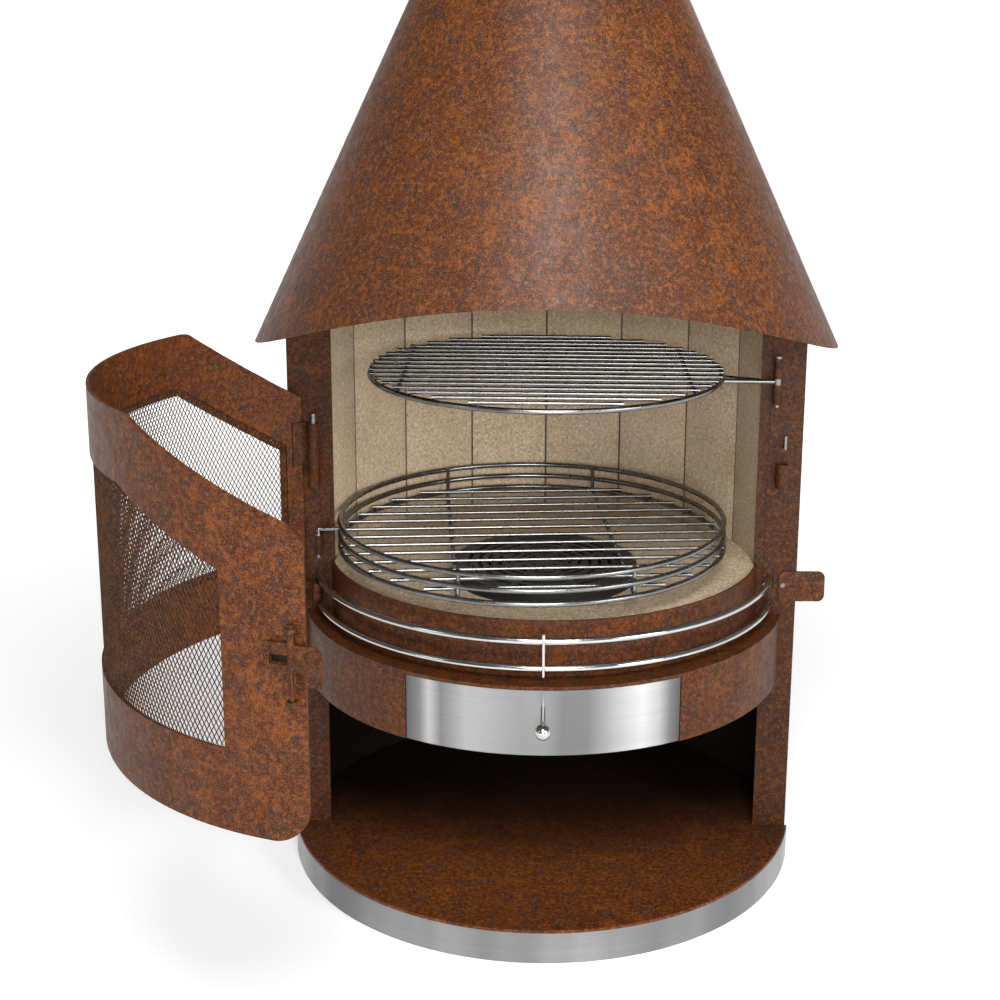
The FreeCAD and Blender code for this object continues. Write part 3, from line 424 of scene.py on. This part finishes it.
# ---------------------------------------------------------------- which node wears which finish
def make_finishes():
    return {
        "hood": rust("rust_hood", 0.73, 1.00, 0.0, gloss=HOOD_GLOSS),
        # The shell and the base plate carry painted shade in the log store.
        "shell": rust("rust_shell", 0.67, 1.00, 3.1, shade_below_hearth),
        "posts": rust("rust_posts", 0.44, 0.98, 5.3),
        "door": rust("rust_door", 0.63, 1.04, 8.7),
        "hearth": rust("rust_hearth", 0.56, 1.02, 11.9),
        "base": rust("rust_base", 0.84, 1.03, 14.2, shade_at_back),
        "blackened": rust("rust_blackened", 0.75, 0.95, 17.8, blacken_all),
        "small": rust("rust_small", 0.46, 1.00, 21.4),
        "lattice": rust("rust_lattice", 0.42, 0.85, 25.0),
        # The sheet carries painted reflection bands across the drawer's front, the ring painted sheen waves.
        "sheet": brushed("brushed_sheet", 0.59, (0.26, 0.40), banded_node="drawer_front"),
        "ring": brushed("brushed_ring", 0.33, (0.28, 0.42), seed=2.3),
        "rod": polished("polished_rod", 0.60, (0.10, 0.20)),
        "wire": polished("grill_wire", 0.24, (0.20, 0.32)),
        "dull": polished("dull_steel", 0.22, (0.30, 0.45)),
        "cast": cast_iron("cast_iron"),
        "brick": firebrick("firebrick", SANDY, SANDY_DARK, joints=True),
        "slab": firebrick("hearth_slab", SLAB, SLAB_DARK),
        "zinc": galvanised("galvanised"),
    }


BY_SLOT = {"rust": "small", "rust_dark": "blackened", "brushed": "sheet", "wire": "wire",
           "cast": "cast", "firebrick": "brick", "hearthstone": "slab", "zinc": "zinc"}
BY_NODE = {                                      # where the slot's own finish isn't the right one
    "hood_cone": "hood", "flue_collar": "hood", "flue_pipe": "hood", "rain_cap": "hood",
    "cap_stays": "hood", "back_shell": "shell", "left_post": "posts", "right_post": "posts",
    "hood_brackets": "small", "door_panel": "door", "door_mesh": "lattice",
    "side_tab": "hearth", "hearth_plate": "hearth", "fire_ring": "hearth",
    "apron_left": "hearth", "apron_right": "hearth", "base_plate": "base",
    "plinth_beam": "blackened", "drawer_runners": "blackened", "base_ring": "ring",
    "rail_rod_upper": "rod", "rail_rod_lower": "rod", "rail_upright": "rod",
    "drawer_rod": "rod", "drawer_ball": "rod", "tab_screws": "dull", "hinge_pins": "dull",
}


def dress_nodes(finishes):
    slots = {row["node"]: row["material_slot"] for row in frame["record"]["subparts"]}
    for name, node in NODES.items():
        chosen = BY_NODE.get(name) or BY_SLOT[slots[name]]
        node.data.materials.clear()
        node.data.materials.append(finishes[chosen])


# ---------------------------------------------------------------- softened edges on the CAD nodes
EDGE_WIDTHS = {
    "hood_cone": 0.0008, "door_panel": 0.0007, "left_post": 0.0007, "right_post": 0.0007,
    "fire_ring": 0.0007, "hearth_plate": 0.0007, "base_plate": 0.0007, "base_ring": 0.0006,
    "apron_left": 0.0006, "apron_right": 0.0006, "drawer_front": 0.0006, "side_tab": 0.0008,
    "lining_bricks": 0.0016, "hearth_slab": 0.0015, "latch_hook": 0.0006, "hinge_lugs": 0.0005,
    "rain_cap": 0.0008, "back_shell": 0.0007,
}
SHARPEST_KEPT = math.radians(42)                 # edges that turn further than this are softened


def soften_edges():
    for name, width in EDGE_WIDTHS.items():
        bevel = NODES[name].modifiers.new("soft_edge", "BEVEL")
        bevel.width = width
        bevel.segments = 2
        bevel.limit_method = "ANGLE"
        bevel.angle_limit = SHARPEST_KEPT


# ---------------------------------------------------------------- places on the open door
DOOR_CENTRE = (0.0071, 0.020)                    # axis of the closed door's curve
DOOR_OPEN = math.radians(-82.2)                  # how far the door stands open at rest


def door_hinge():
    """Where the door's axis meets the floor."""
    for joint in frame["joints"]:
        if joint["child"] == "door":
            return Vector((*joint["pos_m"][:2], 0.0))
    raise ValueError("the door has no joint")


DOOR_HINGE = door_hinge()


def on_door(angle, radius, height):
    """A point of the door at rest, from its angle round the closed door, off straight ahead."""
    closed = Vector((DOOR_CENTRE[0] + radius * math.sin(angle),
                     DOOR_CENTRE[1] - radius * math.cos(angle), height))
    return Matrix.Rotation(DOOR_OPEN, 4, "Z") @ (closed - DOOR_HINGE) + DOOR_HINGE


def new_object(name, bm, finish):
    """A linked object with one material, made from bm, which is freed."""
    data = bpy.data.meshes.new(name)
    bm.to_mesh(data)
    bm.free()
    data.materials.append(finish)
    made = bpy.data.objects.new(name, data)
    bpy.context.scene.collection.objects.link(made)
    return made


# ---------------------------------------------------------------- expanded metal in the door
MESH_OUTLINE = [(-64.62, 0.439), (56.62, 0.439), (56.62, 0.6346), (30.4, 0.694),
                (-37.9, 0.695), (-64.62, 0.5946)]    # degrees round the door, height
MESH_RADIUS = 0.3437
DIAMOND_WIDE, DIAMOND_TALL = 0.0062, 0.0104
STRAND = 0.0016


def flat_diamonds(left, right, low, high):
    """Diamonds that tile a rectangle, side by side and row by row, in the XY plane."""
    bm = bmesh.new()
    made = {}
    half_wide, half_tall = DIAMOND_WIDE / 2, DIAMOND_TALL / 2

    def corner(i, j):
        if (i, j) not in made:
            made[i, j] = bm.verts.new((left + i * half_wide, low + j * half_tall, 0.0))
        return made[i, j]

    for i in range(int((right - left) / half_wide) + 2):
        for j in range(int((high - low) / half_tall) + 2):
            if (i + j) % 2:
                bm.faces.new((corner(i - 1, j), corner(i, j - 1),
                              corner(i + 1, j), corner(i, j + 1)))
    return bm


def trim_to_outline(bm, outline):
    """Cut away what lies outside a convex outline."""
    middle = Vector((sum(p[0] for p in outline), sum(p[1] for p in outline), 0.0)) / len(outline)
    for a, b in zip(outline, outline[1:] + outline[:1]):
        start, end = Vector((*a, 0.0)), Vector((*b, 0.0))
        outwards = (end - start).cross(Vector((0, 0, 1))).normalized()
        if (middle - start).dot(outwards) > 0:
            outwards.negate()
        bmesh.ops.bisect_plane(bm, geom=bm.verts[:] + bm.edges[:] + bm.faces[:],
                               plane_co=start, plane_no=outwards, clear_outer=True)


def expanded_metal(finish):
    """The door's screen: diamonds trimmed to the opening, rolled to its curve, made strands."""
    outline = [(math.radians(a) * MESH_RADIUS, z) for a, z in MESH_OUTLINE]
    across = [p[0] for p in outline]
    up = [p[1] for p in outline]
    bm = flat_diamonds(min(across), max(across), min(up), max(up))
    trim_to_outline(bm, outline)
    for vert in bm.verts:
        vert.co = on_door(vert.co.x / MESH_RADIUS, MESH_RADIUS, vert.co.y)
    piece = new_object("expanded_metal", bm, finish)
    strands = piece.modifiers.new("strands", "WIREFRAME")
    strands.thickness = STRAND
    strands.use_even_offset = False
    strands.use_boundary = True
    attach(piece, "door")
    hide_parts("door_mesh")


# ---------------------------------------------------------------- plate behind the latch's slot
BACKING_FROM, BACKING_TO = 63.3, 68.1            # degrees round the door
BACKING_HEIGHTS = (0.5425, 0.5585)
BACKING_RADIUS = 0.3441
BACKING_STEPS = 8
BACKING_THICKNESS, BACKING_EDGE = 0.0012, 0.0003


def latch_backing(finish):
    """A thin rolled plate inside the door, behind the slot that the latch's bracket stands in."""
    bm = bmesh.new()
    rows = []
    for height in BACKING_HEIGHTS:
        row = []
        for k in range(BACKING_STEPS + 1):
            angle = math.radians(BACKING_FROM + (BACKING_TO - BACKING_FROM) * k / BACKING_STEPS)
            row.append(bm.verts.new(on_door(angle, BACKING_RADIUS, height)))
        rows.append(row)
    low, high = rows
    for k in range(BACKING_STEPS):
        bm.faces.new((low[k], low[k + 1], high[k + 1], high[k]))
    piece = new_object("latch_backing", bm, finish)
    thick = piece.modifiers.new("thickness", "SOLIDIFY")
    thick.thickness = BACKING_THICKNESS
    thick.offset = 0.0
    soft = piece.modifiers.new("soft_edge", "BEVEL")
    soft.width = BACKING_EDGE
    soft.segments = 2
    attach(piece, "door")


# ---------------------------------------------------------------- the room
FLOOR_RADIUS = 14.0
FLOOR_DROP = 0.0005                              # keeps the floor clear of the object's underside
GLOW_NEAR, GLOW_FAR = 0.6, 3.2                   # the floor's glow grows between these radii


def floor_finish():
    """Plain white, which glows more the further it is from the object."""
    net = Finish("floor_finish")
    far = net.add("ShaderNodeVectorMath", operation="LENGTH")
    net.put(far.inputs[0], net.where)
    glow = net.span(far.outputs["Value"], GLOW_NEAR, GLOW_FAR, 0.27, 0.92)
    colour = net.ramp(net.noise(3.0, 3.0, 0.5), (0.3, 0.85), (0.7, 0.87))
    return net.finish(colour, 0.9, Specular_IOR_Level=0.1,
                      Emission_Color=(1.0, 1.0, 1.0, 1.0), Emission_Strength=glow)


def make_floor():
    bm = bmesh.new()
    bmesh.ops.create_circle(bm, cap_ends=True, segments=96, radius=FLOOR_RADIUS)
    floor = new_object("floor", bm, floor_finish())
    floor.location.z = -FLOOR_DROP


def make_world():
    """White at the horizon, greyer in front of the object and overhead, for metal to reflect."""
    world = bpy.data.worlds.new("studio")
    world.use_nodes = True
    net = Net(world.node_tree)
    way = net.split(net.add("ShaderNodeTexCoord").outputs["Generated"])
    horizon = net.span(way["Y"], -0.60, 0.10, 0.86, 1.02)
    light = net.span(way["Z"], 0.05, 0.32, horizon, 0.15)
    net.put(net.tree.nodes["Background"].inputs["Color"], light)
    bpy.context.scene.world = world


def make_room():
    bpy.context.scene.view_settings.view_transform = "Standard"
    make_world()
    make_floor()
    for lamp in LAMPS:
        soft_box(*lamp)


make_camera()
make_room()
FINISHES = make_finishes()
dress_nodes(FINISHES)
soften_edges()
expanded_metal(FINISHES["lattice"])
latch_backing(FINISHES["blackened"])
